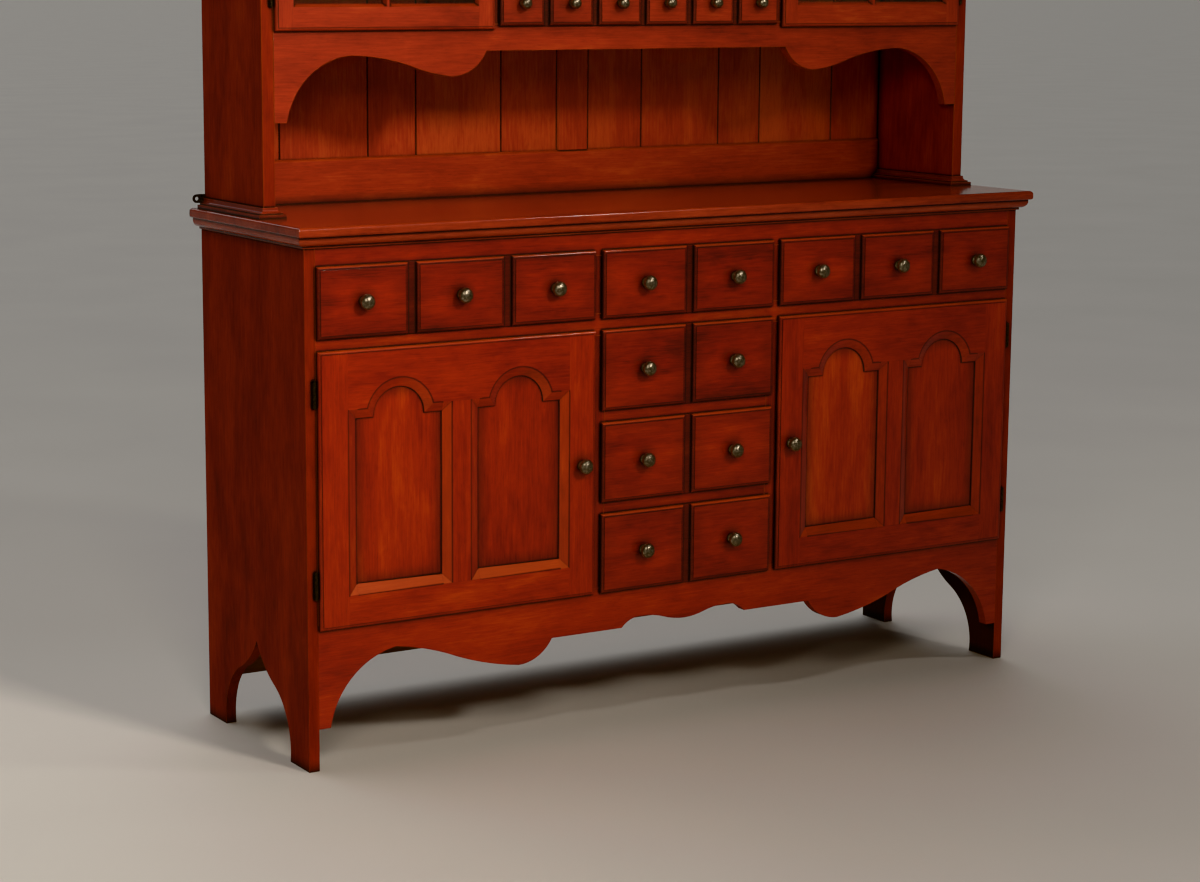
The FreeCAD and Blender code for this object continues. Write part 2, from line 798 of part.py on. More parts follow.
# Base doors: stiles, rails and a muntin round two arched panels, sliced from one bevelled blank.
door_face = front - proud()
bevel_foot = door_face + S.bevel_depth
door_behind = front + S.door_inner
door_left = -outer_lip
door_right = -inner_lip
door_mid = (door_left + door_right) / 2
panel_half = (door_right - door_left - S.door_stile * 2 - S.door_muntin) / 4
panel_mids = [door_mid - S.door_muntin / 2 - panel_half, door_mid + S.door_muntin / 2 + panel_half]
panel_low = door_lip_low + S.door_bottom_rail
panel_crown = door_lip_high - S.door_head_rail
shoulder = panel_crown - S.arch_rise
bevel = S.panel_bevel
cutters = []
panels = []
for middle in panel_mids:
    cutters += bevelled_opening(middle, panel_half, panel_low, shoulder, S.arch_half, S.arch_rise,
                                bevel, door_face, bevel_foot, door_behind)
    groove = S.panel_groove - bevel
    around = (middle - panel_half - groove, middle + panel_half + groove)
    upright = (panel_low - groove, panel_crown + groove)
    cutters.append(board(*around, front, door_behind + S.overrun, *upright))
    panels.append(board(*around, front, front + S.panel_thick, *upright))
carved = cut(lipped_blank(door_left, door_right, door_lip_low, door_lip_high, front, door_gap()), cutters)
deep = (front - S.overrun * 2, door_behind + S.overrun)
far_low = door_lip_low - S.overrun
far_high = door_lip_high + S.overrun
stile_edge = door_left + S.door_stile
lock_edge = door_right - S.door_stile
stile_regions = fuse([
    board(door_left - S.overrun, stile_edge, *deep, far_low, far_high),
    board(door_left, stile_edge + bevel, *deep, panel_low, shoulder),
])
lock_regions = fuse([
    board(lock_edge, door_right + S.overrun, *deep, far_low, far_high),
    board(lock_edge - bevel, door_right, *deep, panel_low, shoulder),
])
muntin_half = S.door_muntin / 2 + bevel
muntin_region = board(door_mid - muntin_half, door_mid + muntin_half, *deep, panel_low, shoulder)
uprights = [stile_regions, lock_regions, muntin_region]
door_frame = group([common(carved, region) for region in uprights] + [cut(carved, uprights)])
left_door = [
    (node("door_left_frame", door_frame), "door_right_frame"),
    (node("door_left_panels", group(panels)), "door_right_panels"),
    (node("door_left_knob", knob_row(S.knob_radius, S.knob_length, 1, S.knob_radius,
                                     door_right - S.knob_inset, door_face,
                                     (door_lip_low + door_lip_high) / 2)), "door_right_knob"),
]
axis_x = door_left - S.hinge_axis_aside
hinges = [hinge(axis_x, front, door_lip_high - S.hinge_from_top),
          hinge(axis_x, front, door_lip_low + S.hinge_from_bottom)]
left_door.append((node("door_left_hinge_leaves", group([parts[1] for parts in hinges])), "door_right_hinge_leaves"))
for piece, label in left_door:
    node(label, mirrored(piece))

# Hutch sides, standing on the counter.
hutch_half = half_case - S.hutch_inset
hutch_inside = hutch_half - S.hutch_side_thick
hutch_rear = case_rear - S.hutch_back_inset
hutch_front = hutch_rear - S.hutch_depth
stand = S.counter_height
hutch_high = stand + S.hutch_height
under_top = hutch_high - S.top_thick
hutch_side = board(-hutch_half, -hutch_inside, hutch_front, hutch_rear, stand, under_top)
node("hutch_side_left", hutch_side)
node("hutch_side_right", mirrored(hutch_side))

# Waist moulding round the foot of each side: plinth, bead, cove and fillet.
waist_reach = S.waist_reach
waist_high = S.waist_height
waist_profile = [
    (waist_reach * 0, waist_reach * 0, 0.0),
    (waist_reach, waist_reach * 0, 0.0),
    (waist_reach, S.waist_plinth, 0.0),
    (S.waist_bead, S.waist_plinth, 0.0),
    (S.waist_bead, S.waist_plinth + S.waist_fillet, QUARTER_ROUND_SHARE),
    (S.waist_fillet, waist_high - S.waist_fillet, 0.0),
    (S.waist_fillet, waist_high, 0.0),
    (waist_reach * 0, waist_high, 0.0),
]
back_frame_face = hutch_rear - S.back_frame_thick
waist_runs = [
    moulding_run(waist_profile, S.hutch_depth, waist_reach, waist_high, (1, 0), 90,
                 -hutch_half, hutch_front - waist_reach, stand),
    moulding_run(waist_profile, S.hutch_side_thick, waist_reach, waist_high, (1, 1), 180,
                 waist_reach - hutch_inside, hutch_front, stand),
    moulding_run(waist_profile, S.hutch_depth - S.back_frame_thick, waist_reach, waist_high, (0, 1), -90,
                 -hutch_inside, back_frame_face, stand),
]
node("waist_moulding", group(both(waist_runs)))

# Valance over the serving bay.
upper_high = hutch_high - S.frieze_height
upper_floor = stand + S.valance_end_rise + S.valance_rise + S.valance_band
upper_low = upper_floor - over
upper_behind = hutch_front + S.frame_thick
node("valance", scrolled(VALANCE_SHARES, hutch_inside, stand + S.valance_end_rise, S.valance_rise, upper_floor,
                         hutch_front, S.frame_thick))

# Face frame of the hutch: end stiles, posts beside the open bay, and the frieze under the crown.
spice_half = S.spice_lip_width / 2
upper_inner = spice_half + S.upper_post_show
upper_outer = hutch_inside - S.upper_side_gap
upper_post_inner = spice_half - over
upper_post_outer = upper_inner + over
frieze_low = upper_high - over
upper_stiles = [
    board(-upper_post_outer, -upper_post_inner, hutch_front, upper_behind, upper_floor, frieze_low),
    board(-hutch_inside, over - upper_outer, hutch_front, upper_behind, upper_floor, frieze_low),
]
frieze = board(-hutch_inside, hutch_inside, hutch_front, upper_behind, frieze_low, under_top)
node("hutch_face_frame", group(both(upper_stiles) + [frieze]))

# Floor, partitions and shelves of the hutch; the shelves have a groove to stand plates in.
upper_part_mid = (upper_post_inner + upper_post_outer) / 2
upper_part_inner = upper_part_mid - S.board_thick / 2
upper_part_outer = upper_part_mid + S.board_thick / 2
hutch_floor = board(-hutch_inside, hutch_inside, upper_behind, back_frame_face,
                    upper_floor - S.board_thick, upper_floor)
upper_partition = board(-upper_part_outer, -upper_part_inner, upper_behind, back_frame_face,
                        upper_floor, under_top)
node("hutch_partitions", group(both([upper_partition])))
spice_low = upper_low + S.spice_lip_lift
spice_high = spice_low + S.spice_lip_height
bay_under = spice_high - over
bay_floor = bay_under + S.spice_shelf_thick
bay_front = board(-upper_post_inner, upper_post_inner, hutch_front, upper_behind, bay_under, bay_floor)
bay_board = board(-upper_part_inner, upper_part_inner, upper_behind, back_frame_face, bay_under, bay_floor)
shelf_front = upper_behind + S.shelf_setback


def grooved_shelf(x0, x1, low):
    high = low + S.shelf_thick
    slot = back_frame_face - S.plate_groove_from_back
    groove = board(x0, x1, slot - S.plate_groove_width, slot, high - S.plate_groove_depth, high + S.overrun)
    return cut(board(x0, x1, shelf_front, back_frame_face, low, high), [groove])


shelves = [hutch_floor, bay_front, bay_board]
for share in SHELF_SHARES:
    shelves += both([grooved_shelf(-hutch_inside, -upper_part_outer,
                                   upper_floor + (frieze_low - upper_floor) * share)])
    shelves.append(grooved_shelf(-upper_part_inner, upper_part_inner,
                                 bay_floor + (frieze_low - bay_floor) * share))
node("hutch_shelves", group(shelves))

# Back of the hutch: a frame with bevelled inner edges, and V-jointed planks let in behind its face.
rail_top = stand + S.back_rail_height
top_rail_low = under_top - S.back_rail_height
muntin = S.back_muntin_width / 2
back_bevel = S.back_edge_bevel
low_rail = board(-hutch_inside, hutch_inside, back_frame_face, hutch_rear, stand, rail_top)
high_rail = board(-hutch_inside, hutch_inside, back_frame_face, hutch_rear, top_rail_low, under_top)
back_muntin = board(-muntin, muntin, back_frame_face, hutch_rear, rail_top, top_rail_low)
node("hutch_back_frame", group([
    eased(low_rail, "Part::Chamfer", [(back_bevel, lambda at: near(at.z, rail_top) and near(at.y, back_frame_face))]),
    eased(back_muntin, "Part::Chamfer", [
        (back_bevel, lambda at: near(at.x, muntin) and near(at.y, back_frame_face)),
        (back_bevel, lambda at: near(at.x, -muntin) and near(at.y, back_frame_face)),
    ]),
    high_rail,
]))
plank_face = back_frame_face + S.plank_setback
bay_width = hutch_inside - muntin
planks = []
passed = 0.0
for share in PLANK_SHARES:
    start = bay_width * passed - hutch_inside
    passed += share
    finish = bay_width * passed - hutch_inside
    plank = board(start, finish, plank_face, hutch_rear, rail_top, top_rail_low)
    planks.append(eased(plank, "Part::Chamfer", [
        (S.plank_bevel, lambda at: near(at.x, start) and near(at.y, plank_face)),
        (S.plank_bevel, lambda at: near(at.x, finish) and near(at.y, plank_face)),
    ]))
node("hutch_back_planks", group(both(planks)))

# Top board and crown moulding: fillet, cove, bead and a deep top fillet.
node("hutch_top", board(-hutch_half, hutch_half, hutch_front, hutch_rear, under_top, hutch_high))
crown_reach = S.crown_reach
crown_high = S.crown_height
crown_foot = S.crown_foot
crown_shelf = crown_high - S.crown_top
crown_profile = [
    (crown_reach * 0, crown_reach * 0, 0.0),
    (crown_foot, crown_reach * 0, 0.0),
    (crown_foot, crown_foot, -QUARTER_ROUND_SHARE),
    (crown_foot * 2, crown_foot * 2, 0.0),
    (crown_foot * 2, crown_foot * 3, QUARTER_ROUND_SHARE),
    (crown_reach - crown_foot, crown_shelf - crown_foot, 0.0),
    (crown_reach - crown_foot, crown_shelf, 0.0),
    (crown_reach, crown_shelf, 0.0),
    (crown_reach, crown_high, 0.0),
    (crown_reach * 0, crown_high, 0.0),
]
crown_low = hutch_high - crown_high
crown_front = moulding_run(crown_profile, hutch_half * 2, crown_reach, crown_high, (1, 1), 180,
                           hutch_half + crown_reach, hutch_front, crown_low)
crown_side = moulding_run(crown_profile, S.hutch_depth, crown_reach, crown_high, (1, 0), 90,
                          -hutch_half, hutch_front - crown_reach, crown_low)
node("crown_moulding", group([crown_front] + both([crown_side])))

# Spice drawer: one long drawer that shows six small raised fronts.
drawer("spice_drawer", -spice_half, spice_half, spice_low, spice_high, hutch_front, upper_floor,
       back_frame_face - S.spice_back_room, 6, S.spice_channel, S.small_knob_radius, S.small_knob_length)

# Glazed doors: stiles, rails, a muntin and bars round six panes, the top pair arched.
glazed_face = hutch_front - proud()
glass_plane = hutch_front
glass_foot = glazed_face + S.glass_bevel_depth
glazed_behind = hutch_front + S.door_inner
glazed_left = -upper_outer
glazed_right = -upper_inner
glazed_mid = (glazed_left + glazed_right) / 2
pane_half = (glazed_right - glazed_left - S.upper_stile * 2 - S.upper_muntin) / 4
pane_mids = [glazed_mid - S.upper_muntin / 2 - pane_half, glazed_mid + S.upper_muntin / 2 + pane_half]
pane_low = upper_low + S.upper_bottom_rail
pane_crown = upper_high - S.upper_top_rail
pane_rows = len(SHELF_SHARES) + 1
pane_height = (pane_crown - pane_low - S.upper_bar * (pane_rows - 1)) / pane_rows
pane_bevel = S.glass_bevel
cutters = []
for middle in pane_mids:
    for row in range(pane_rows):
        low = pane_low + (pane_height + S.upper_bar) * row
        rise = S.upper_arch_rise if row == pane_rows - 1 else None
        high = low + pane_height - (S.upper_arch_rise if rise is not None else 0)
        cutters += bevelled_opening(middle, pane_half, low, high, S.upper_arch_half, rise,
                                    pane_bevel, glazed_face, glass_foot, glazed_behind)
glass_edge = S.glass_groove - pane_bevel
glass_across = (glazed_left + S.upper_stile - glass_edge, glazed_right - S.upper_stile + glass_edge)
glass_up = (pane_low - glass_edge, pane_crown + glass_edge)
cutters.append(board(*glass_across, glass_plane, glazed_behind + S.overrun, *glass_up))
glazed = cut(lipped_blank(glazed_left, glazed_right, upper_low, upper_high, hutch_front, door_gap()), cutters)
deep = (hutch_front - S.overrun * 2, glazed_behind + S.overrun)
far_low = upper_low - S.overrun
far_high = upper_high + S.overrun
hang_edge = glazed_left + S.upper_stile
lock_edge = glazed_right - S.upper_stile
pane_shoulder = pane_crown - S.upper_arch_rise
hang_regions = fuse([
    board(glazed_left - S.overrun, hang_edge, *deep, far_low, far_high),
    board(glazed_left, hang_edge + pane_bevel, *deep, pane_low, pane_shoulder),
])
lock_regions = fuse([
    board(lock_edge, glazed_right + S.overrun, *deep, far_low, far_high),
    board(lock_edge - pane_bevel, glazed_right, *deep, pane_low, pane_shoulder),
])
muntin_half = S.upper_muntin / 2 + pane_bevel
muntin_region = board(glazed_mid - muntin_half, glazed_mid + muntin_half, *deep, pane_low, pane_shoulder)
uprights = [hang_regions, lock_regions, muntin_region]
glazed_frame = group([common(glazed, region) for region in uprights] + [cut(glazed, uprights)])
glass = board(*glass_across, glass_plane, glass_plane + S.glass_thick, *glass_up)
upper_axis = glazed_left - S.hinge_axis_aside
upper_hinges = [hinge(upper_axis, hutch_front, upper_high - S.upper_hinge_from_end),
                hinge(upper_axis, hutch_front, upper_low + S.upper_hinge_from_end)]
left_glazed = [
    (node("glazed_left_frame", glazed_frame), "glazed_right_frame"),
    (node("glazed_left_glass", glass), "glazed_right_glass"),
    (node("glazed_left_knob", knob_row(S.small_knob_radius, S.small_knob_length, 1, S.knob_radius,
                                       glazed_right - S.upper_knob_inset, glazed_face,
                                       upper_low + S.upper_knob_rise)), "glazed_right_knob"),
    (node("glazed_left_hinge_leaves", group([parts[1] for parts in upper_hinges])), "glazed_right_hinge_leaves"),
]
for piece, label in left_glazed:
    node(label, mirrored(piece))

# Frame halves of the eight hinges, with their pins.
frame_leaves = [parts[0] for parts in hinges + upper_hinges]
pins = [parts[2] for parts in hinges + upper_hinges]
node("hinge_frame_leaves", group(both(frame_leaves + pins)))

# Tie eyes: small steel plates screwed to the back edges of the hutch sides.
eye_x = -hutch_half - S.tie_eye_aside
eye_z = stand + S.tie_eye_rise
tie_rear = hutch_rear + S.tie_plate_thick
tie_end = S.tie_plate_reach - hutch_half
plate = fuse([
    board(eye_x, tie_end, hutch_rear, tie_rear, eye_z - S.tie_eye_radius, eye_z + S.tie_eye_radius),
    cross_rod(eye_x, hutch_rear, tie_rear, eye_z, S.tie_eye_radius),
    cross_rod(tie_end - S.tie_eye_radius, tie_rear, tie_rear + S.tie_screw_head, eye_z, S.tie_screw_radius),
])
eye_hole = cross_rod(eye_x, hutch_rear - S.overrun, tie_rear + S.overrun, eye_z, S.tie_hole_radius)
node("tie_eyes", group(both([cut(plate, [eye_hole])])))

doc.recompute()
for made in doc.Objects:
    if "Invalid" in made.State or "Error" in made.State:
        raise RuntimeError("%s (%s) failed: %s" % (made.Name, made.Label, made.State))
for made in nodes:
    if made.Shape.isNull() or not made.Shape.isValid() or not made.Shape.Solids:
        raise RuntimeError("%s has no valid solid" % made.Label)

os.makedirs("parts", exist_ok=True)
for made in nodes:
    made.Shape.exportStep("parts/%s.step" % made.Label)
    box = made.Shape.BoundBox
    print("%-28s %3d solids  x %8.1f %8.1f  y %8.1f %8.1f  z %8.1f %8.1f" % (
        made.Label, len(made.Shape.Solids), box.XMin, box.XMax, box.YMin, box.YMax, box.ZMin, box.ZMax))
print(len(nodes), "nodes")
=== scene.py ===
import math
import random

import bmesh
import bpy
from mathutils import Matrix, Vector


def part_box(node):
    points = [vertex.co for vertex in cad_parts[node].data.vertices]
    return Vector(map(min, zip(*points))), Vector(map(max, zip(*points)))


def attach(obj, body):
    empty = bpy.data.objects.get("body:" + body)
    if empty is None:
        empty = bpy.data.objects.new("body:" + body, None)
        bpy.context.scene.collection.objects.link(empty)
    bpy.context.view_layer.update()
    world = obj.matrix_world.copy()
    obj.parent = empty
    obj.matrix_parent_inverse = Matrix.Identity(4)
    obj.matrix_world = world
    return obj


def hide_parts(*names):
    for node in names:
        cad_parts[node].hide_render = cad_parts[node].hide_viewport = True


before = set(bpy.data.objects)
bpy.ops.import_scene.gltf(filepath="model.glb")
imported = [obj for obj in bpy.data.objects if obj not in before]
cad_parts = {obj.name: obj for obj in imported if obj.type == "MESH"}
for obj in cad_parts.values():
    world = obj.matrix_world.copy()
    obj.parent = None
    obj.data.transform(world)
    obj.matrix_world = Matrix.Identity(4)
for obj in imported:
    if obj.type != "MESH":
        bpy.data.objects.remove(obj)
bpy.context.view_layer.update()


# Base sides
# Two solid boards, stained to a red cherry, that run down to the floor and are cut out between
# the feet. The sharp edges were eased with sandpaper before the finish went on.
def linear(code):
    """A colour code as the linear numbers that a shader takes."""
    parts = [int(code[at:at + 2], 16) / 255 for at in (1, 3, 5)]
    return tuple(p / 12.92 if p <= 0.04045 else ((p + 0.055) / 1.055) ** 2.4 for p in parts) + (1.0,)


def add(tree, kind, sockets=None, **settings):
    """Adds a node, with its settings, and a number or a link for each named socket."""
    made = tree.nodes.new(kind)
    for name, value in settings.items():
        setattr(made, name, value)
    for key, value in (sockets or {}).items():
        if isinstance(value, bpy.types.NodeSocket):
            tree.links.new(value, made.inputs[key])
        else:
            made.inputs[key].default_value = value
    return made


def new_material(name):
    """A new material, with its node tree and its shader."""
    material = bpy.data.materials.new(name)
    material.use_nodes = True
    return material, material.node_tree, material.node_tree.nodes["Principled BSDF"]


def stained_wood(name, tones, rub_and_highlight, glaze_and_shade, gloss, coat):
    """Stained wood under lacquer, with painted shade in its corners and painted highlights. The grain runs
    along x of the attribute "grain".
    tones are the stain from dark to light, rub_and_highlight is the colour of worn edges and of painted
    highlights, and glaze_and_shade that of painted shade and of darker borders, gloss is the roughness of
    the wood, and coat how much clear lacquer lies over it."""
    material, tree, shader = new_material(name)
    grain, off_middle, half_size = (
        add(tree, "ShaderNodeAttribute", attribute_name=label).outputs["Vector"]
        for label in ("grain", "off_middle", "half_size"))
    tone, wear_and_light = (add(tree, "ShaderNodeAttribute", attribute_name=label).outputs["Fac"]
                  for label in ("tone", "wear_and_light"))

    # Noise drawn out along the grain. Each has its repeats per metre along and across the grain, its
    # detail, its roughness and how far it is bent.
    figure = {}
    for label, repeats, detail, roughness, bend in (
            # Blotches where the stain took unevenly: about 300 mm along the grain and 70 mm across.
            ("blotch", (3.3, 14.0, 14.0), 3.0, 0.55, 0.5),
            # Slow wander of the growth rings, about 600 mm along and 140 mm across.
            ("wander", (1.7, 7.0, 7.0), 2.0, 0.5, 0.0),
            # Mottle, about 45 mm along and 14 mm across.
            ("mottle", (22.0, 70.0, 70.0), 3.0, 0.6, 0.6),
            # Fine streaks, about 50 mm long and 2 mm wide.
            ("streak", (20.0, 500.0, 500.0), 3.0, 0.6, 0.0),
            # Pores are about 0.2 mm wide, too fine to show, so they are drawn 1 mm wide and 12 mm long.
            ("pore", (80.0, 1000.0, 1000.0), 1.0, 0.5, 0.0)):
        drawn_out = add(tree, "ShaderNodeVectorMath", {0: grain, 1: repeats}, operation="MULTIPLY")
        noise = add(tree, "ShaderNodeTexNoise",
                    {"Vector": drawn_out.outputs[0], "Scale": 1.0, "Detail": detail,
                     "Roughness": roughness, "Distortion": bend})
        figure[label] = noise.outputs["Fac"]
    # Flat-sawn growth rings about 9 mm apart, round a heart 30 mm off the middle of the board.
    ring_pitch, heart_offset, wander_reach = 0.009, 0.03, 0.075
    heart = add(tree, "ShaderNodeVectorMath",
                {0: grain, 1: (0.0, 1.0, 1.0), 2: (0.0, 0.0, heart_offset)}, operation="MULTIPLY_ADD")
    radius = add(tree, "ShaderNodeVectorMath", {0: heart.outputs[0]}, operation="LENGTH")
    bent = add(tree, "ShaderNodeMath",
               {0: figure["wander"], 1: wander_reach, 2: radius.outputs["Value"]}, operation="MULTIPLY_ADD")
    turns = add(tree, "ShaderNodeMath", {0: bent.outputs[0], 1: 2 * math.pi / ring_pitch},
                operation="MULTIPLY")
    figure["ring"] = add(tree, "ShaderNodeMath", {0: turns.outputs[0]}, operation="SINE").outputs[0]

    # How light the stain is: the share of each figure, and of the board's own tone.
    light = -0.35
    for part, share in ((figure["blotch"], 0.82), (figure["mottle"], 0.38), (figure["ring"], 0.02),
                        (figure["streak"], 0.52), (tone, 0.10)):
        light = add(tree, "ShaderNodeMath", {0: part, 1: share, 2: light},
                    operation="MULTIPLY_ADD").outputs[0]
    ramp = add(tree, "ShaderNodeValToRGB", {0: light})
    spots = ramp.color_ramp.elements
    spots[0].position, spots[0].color = 0.12, linear(tones[0])
    spots[1].position, spots[1].color = 0.88, linear(tones[3])
    for position, code in ((0.38, tones[1]), (0.62, tones[2])):
        spots.new(position).color = linear(code)
    pore_dark = add(tree, "ShaderNodeMapRange", {0: figure["pore"], 1: 0.62, 2: 0.74, 3: 0.0, 4: 0.35})

    # Darker along the borders of a flat face, fading over about 35 mm; x and y of
    # off_middle and half_size place a point on its face, and z of half_size is how strong it is.
    border_reach, corner_round = 0.035, 0.03
    away = add(tree, "ShaderNodeVectorMath", {0: off_middle}, operation="ABSOLUTE")
    inside = add(tree, "ShaderNodeVectorMath", {0: half_size, 1: away.outputs[0]}, operation="SUBTRACT")
    inside = add(tree, "ShaderNodeSeparateXYZ", {0: inside.outputs[0]})
    border = add(tree, "ShaderNodeMath",
                 {0: inside.outputs["X"], 1: inside.outputs["Y"], 2: corner_round}, operation="SMOOTH_MIN")
    border = add(tree, "ShaderNodeMapRange",
                 {0: border.outputs[0], 1: 0.0, 2: border_reach, 3: 1.0, 4: 0.0},
                 interpolation_type="SMOOTHSTEP")
    strength = add(tree, "ShaderNodeSeparateXYZ", {0: half_size}).outputs["Z"]
    border_darkened = add(tree, "ShaderNodeMath", {0: border.outputs[0], 1: strength}, operation="MULTIPLY")

    # Painted shade: darker in the corners, by how little of the room a point sees within 22 mm, with a thin,
    # nearly black line along the bottom of every inner corner; marks below 0 add the same painted shade, and
    # marks above 0 lighten, as wear on eased edges and as painted highlights.
    shade_reach, line_reach = 0.022, 0.004
    corner = add(tree, "ShaderNodeAmbientOcclusion", {"Distance": shade_reach}, samples=6)
    hollow = add(tree, "ShaderNodeMapRange", {0: corner.outputs["AO"], 1: 0.5, 2: 0.99, 3: 0.95, 4: 0.0})
    sunk = add(tree, "ShaderNodeMath", {0: wear_and_light, 1: -1.0, 2: hollow.outputs[0]},
               operation="MULTIPLY_ADD", use_clamp=True)
    seam = add(tree, "ShaderNodeAmbientOcclusion", {"Distance": line_reach}, samples=4)
    line = add(tree, "ShaderNodeMapRange", {0: seam.outputs["AO"], 1: 0.78, 2: 0.95, 3: 0.85, 4: 0.0})
    rubbed_and_lit = add(tree, "ShaderNodeMath", {0: wear_and_light, 1: 0.55}, operation="MULTIPLY", use_clamp=True)

    # The layers over the stain, each with its share and its colour. A colour mix takes the share at
    # socket 0 and the colours at 6 and 7, and gives the result at 2.
    colour = ramp.outputs[0]
    for share, code in ((pore_dark, tones[0]), (border_darkened, glaze_and_shade), (sunk, glaze_and_shade), (line, glaze_and_shade),
                        (rubbed_and_lit, rub_and_highlight)):
        colour = add(tree, "ShaderNodeMix", {0: share.outputs[0], 6: colour, 7: linear(code)},
                     data_type="RGBA").outputs[2]
    tree.links.new(colour, shader.inputs["Base Color"])
    # Lacquer: satin, a little duller along the dark streaks, over a faint relief of streaks and pores.
    rough = add(tree, "ShaderNodeMapRange",
                {0: figure["streak"], 1: 0.3, 2: 0.7, 3: gloss + 0.07, 4: gloss - 0.03})
    tree.links.new(rough.outputs[0], shader.inputs["Roughness"])
    relief = add(tree, "ShaderNodeMath", {0: pore_dark.outputs[0], 1: -0.5, 2: figure["streak"]},
                 operation="MULTIPLY_ADD")
    bump = add(tree, "ShaderNodeBump", {"Strength": 0.10, "Distance": 0.0006, "Height": relief.outputs[0]})
    tree.links.new(bump.outputs[0], shader.inputs["Normal"])
    shader.inputs["IOR"].default_value = 1.35
    shader.inputs["Coat Weight"].default_value = coat
    shader.inputs["Coat Roughness"].default_value = 0.1
    return material


# Red cherry: gives the eye a deep orange-red that glows where light falls on it, soft figure
# rather than lines, and near-black painted shade in every corner.
cherry = stained_wood("stained_cherry_rubbed_painted_shade", ("#440901", "#7E1602", "#9A2302", "#B83E09"),
                      "#C0541A", "#120301", 0.5, 0.65)
# The same stain a shade darker and duller on the broad sides: the darker stain is painted shade for the
# shade the sides stand in, and the dullness gives the eye hardly any reflection.
dull_cherry = stained_wood("stained_cherry_dull_darker_painted_shade", ("#400A01", "#701602", "#8A2202", "#A63A08"),
                           "#B45218", "#120301", 0.66, 0.0)


def loose_boards(node):
    """The boards of a CAD node, each a list of triangles. A board is whole when no edge is left open."""
    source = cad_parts[node].data
    corners = [tuple(round(c, 6) for c in v.co) for v in source.vertices]
    found, triangles, loose = [], [], set()
    for face in source.polygons:
        ends = [corners[at] for at in face.vertices]
        triangles.append(ends)
        for a, b in zip(ends, ends[1:] + ends[:1]):
            if (b, a) in loose:
                loose.remove((b, a))
            elif a != b:
                loose.add((a, b))
        if not loose:
            found.append(triangles)
            triangles = []
    if triangles:
        found.append(triangles)
    return found


def joined(triangles):
    """One board as a shape with whole flat faces, and the board's lowest and highest corners."""
    shape = bmesh.new()
    made = {}
    for ends in triangles:
        if len(set(ends)) == 3:
            for at in ends:
                if at not in made:
                    made[at] = shape.verts.new(at)
            # A triangle that comes twice is made once.
            try:
                shape.faces.new([made[at] for at in ends])
            except ValueError:
                pass
    bmesh.ops.dissolve_limit(shape, angle_limit=math.radians(0.3), use_dissolve_boundaries=False,
                             verts=shape.verts[:], edges=shape.edges[:])
    low = Vector([min(at[i] for at in made) for i in range(3)])
    high = Vector([max(at[i] for at in made) for i in range(3)])
    return shape, low, high


def sloping(normal):
    """Tells whether a face is a bevel on the front, facing neither straight out nor sideways."""
    return -0.98 < normal.y < -0.3


def bevel_rims(shape, wear_and_light_layer):
    """The outer and inner edges of the bevels that carry marks."""
    rims = []
    for edge in shape.edges:
        if edge.is_manifold and edge.is_convex and edge.calc_face_angle() > math.radians(15):
            plain, slope = sorted(edge.link_faces, key=lambda face: abs(face[wear_and_light_layer]))
            if plain[wear_and_light_layer] == 0 and slope[wear_and_light_layer] != 0 and sloping(slope.normal):
                # The end face of a joint lies across the slope, and its edge is no rim.
                across = plain.normal.x * slope.normal.x + plain.normal.z * slope.normal.z
                if plain.normal.y < -0.98 or across > 0.05:
                    rims.append(edge)
    return rims


def chamfer(shape, edges, width, segments):
    """Takes the edges off a shape, and returns the narrow faces that this leaves."""
    done = bmesh.ops.bevel(shape, geom=edges, offset=width, offset_type="OFFSET", segments=segments,
                           profile=0.5, affect="EDGES", clamp_overlap=True)
    return done["faces"]


def put(name, data):
    """A new object in the scene."""
    made = bpy.data.objects.new(name, data)
    bpy.context.scene.collection.objects.link(made)
    return made


def make_plain(piece):
    """Turns a piece and its modifiers into a plain mesh."""
    finished = piece.evaluated_get(bpy.context.evaluated_depsgraph_get())
    piece.data = bpy.data.meshes.new_from_object(finished)
    piece.modifiers.clear()


